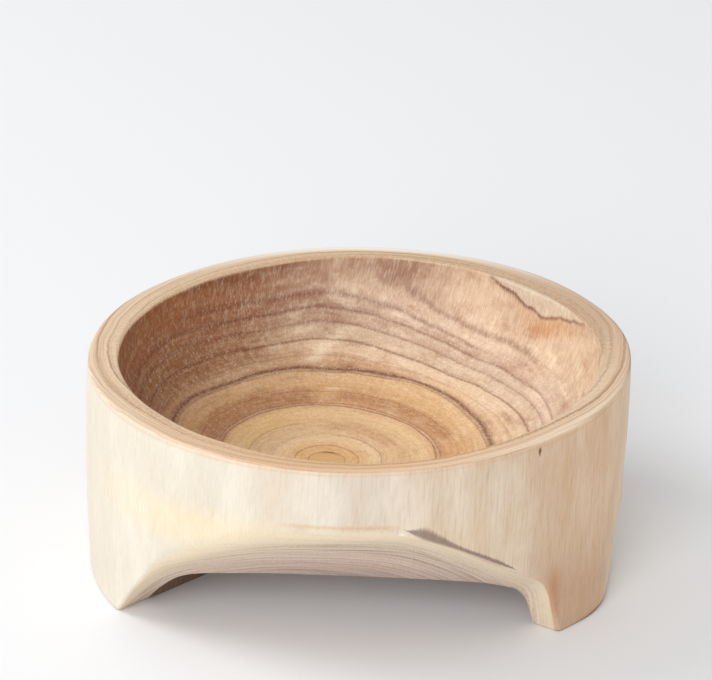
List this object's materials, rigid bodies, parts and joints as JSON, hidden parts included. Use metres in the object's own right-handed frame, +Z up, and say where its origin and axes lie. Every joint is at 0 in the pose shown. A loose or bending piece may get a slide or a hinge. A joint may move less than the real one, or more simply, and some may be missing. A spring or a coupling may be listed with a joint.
{
  "type": "footed bowl",
  "caption": "Round bowl hollowed from one section of a pale log, cut away underneath at the front and back so that it stands on two broad legs.",
  "frame": {"origin": "on the surface that the bowl stands on, under the middle of its bounding box", "axes": "+Z up out of the hollow; +X to the right leg; the passage between the legs runs along Y, and -Y is the front"},
  "size_m": [0.3069, 0.3056, 0.125],
  "materials": {
    "carved_wood": "bare sanded wood, matte, with dark growth rings in the hollow",
    "plug_wood": "bare sanded wood, matte"
  },
  "bodies": {
    "root": {"bowl_body": "carved_wood", "pith_plug": "plug_wood"}
  },
  "joints": []
}
